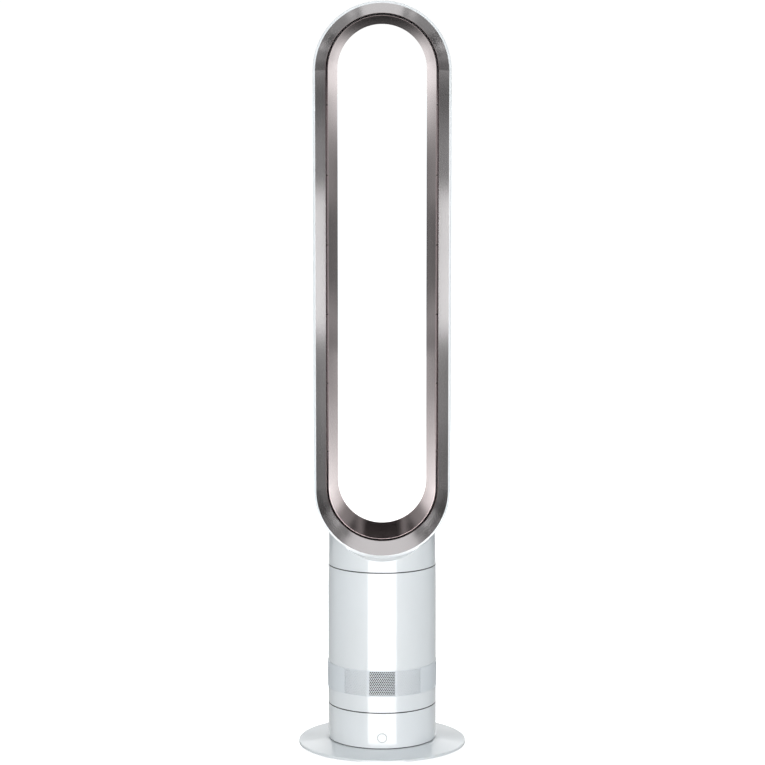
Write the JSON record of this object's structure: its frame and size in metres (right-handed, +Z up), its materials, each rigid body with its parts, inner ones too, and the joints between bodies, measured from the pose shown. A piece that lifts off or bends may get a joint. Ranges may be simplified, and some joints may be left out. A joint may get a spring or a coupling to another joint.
{
  "type": "bladeless tower fan",
  "caption": "Slim bladeless tower fan: a tall loop blows air from a narrow slot round its inside, on a round column that swings from side to side on a wide foot disc.",
  "frame": {"origin": "on the floor, on the column's vertical axis", "axes": "+Z up, -Y towards the front (the side the air leaves and the button is on), +X to the right seen from the front"},
  "size_m": [0.2276, 0.2276, 1.007],
  "materials": {
    "white": "gloss",
    "face_metal": "satin",
    "liner_metal": "satin",
    "dark_plastic": "matte",
    "pale_plastic": "satin",
    "impeller_plastic": "satin",
    "rubber": "matte",
    "ballast": "satin",
    "steel": "satin",
    "motor_case": "satin",
    "aluminium": "satin",
    "magnet": "satin",
    "copper": "satin",
    "board": "satin",
    "component": "satin",
    "lamp": "gloss",
    "brass": "polished",
    "wire": "satin",
    "foam": "matte"
  },
  "bodies": {
    "base": {"foot_ring": "rubber", "foot_bottom": "dark_plastic", "ballast_plate": "ballast", "foot_cover": "white", "foot_screws": "steel", "base_floor": "dark_plastic", "base_casing": "white", "main_board": "board", "board_components": "component", "control_board": "board", "tact_switch": "component", "display_module": "lamp", "remote_receiver": "lamp", "button_spring": "steel", "mains_inlet": "dark_plastic", "inlet_pins": "brass", "base_deck": "dark_plastic", "deck_screws": "steel", "glide_ring": "pale_plastic", "pivot_retainer": "steel", "drive_motor": "motor_case", "motor_screws": "steel", "wiring_loom": "wire", "loom_plug": "dark_plastic"},
    "pinion": {"drive_shaft": "steel", "drive_pinion": "pale_plastic"},
    "button": {"power_button": "white"},
    "body": {"turntable": "dark_plastic", "swing_gear": "pale_plastic", "turntable_screws": "steel", "loom_cover": "dark_plastic", "inlet_foam": "foam", "body_casing": "white", "inlet_grille": "white", "housing_seal": "rubber", "impeller_housing": "dark_plastic", "silencer_sleeve": "foam", "bearing_outer_rings": "steel", "bearing_balls": "steel", "motor_bucket_lower": "dark_plastic", "motor_bucket_upper": "dark_plastic", "diffuser_vanes": "dark_plastic", "motor_frame": "aluminium", "motor_stator": "steel", "motor_windings": "copper", "motor_board": "board", "motor_capacitors": "component", "bayonet_socket": "dark_plastic", "neck_seal": "rubber"},
    "impeller": {"impeller": "impeller_plastic", "motor_shaft": "steel", "impeller_nut": "steel", "bearing_inner_rings": "steel", "rotor_magnet": "magnet"},
    "nozzle": {"nozzle_shell": "white", "rear_liner": "liner_metal", "front_airfoil": "face_metal", "slot_spacers": "dark_plastic", "flow_splitter": "dark_plastic", "nozzle_collar": "dark_plastic"}
  },
  "joints": [
    {"name": "body_oscillation", "type": "hinge", "parent": "base", "child": "body", "pos_m": [0, 0, 0.0585], "axis": [0, 0, 1], "range_deg": [-35, 35]},
    {"name": "pinion_spin", "type": "hinge", "parent": "base", "child": "pinion", "pos_m": [0, 0.038, 0.05], "axis": [0, 0, 1], "range_deg": [-132, 132]},
    {"name": "impeller_spin", "type": "hinge", "parent": "body", "child": "impeller", "pos_m": [0, 0, 0.12], "axis": [0, 0, 1], "continuous": true},
    {"name": "power_button_press", "type": "slide", "parent": "base", "child": "button", "axis": [0, 1, 0], "range_m": [0, 0.001], "stiffness_N_per_m": 400, "springref_m": -0.001, "deforming": ["button_spring"]},
    {"name": "nozzle_twist", "type": "hinge", "parent": "body", "child": "nozzle", "pos_m": [0, 0, 0.25], "axis": [0, 0, 1], "range_deg": [0, 26]}
  ],
  "couplings": [
    {"joint": "pinion_spin", "follows": "body_oscillation", "ratio": -3.75}
  ]
}
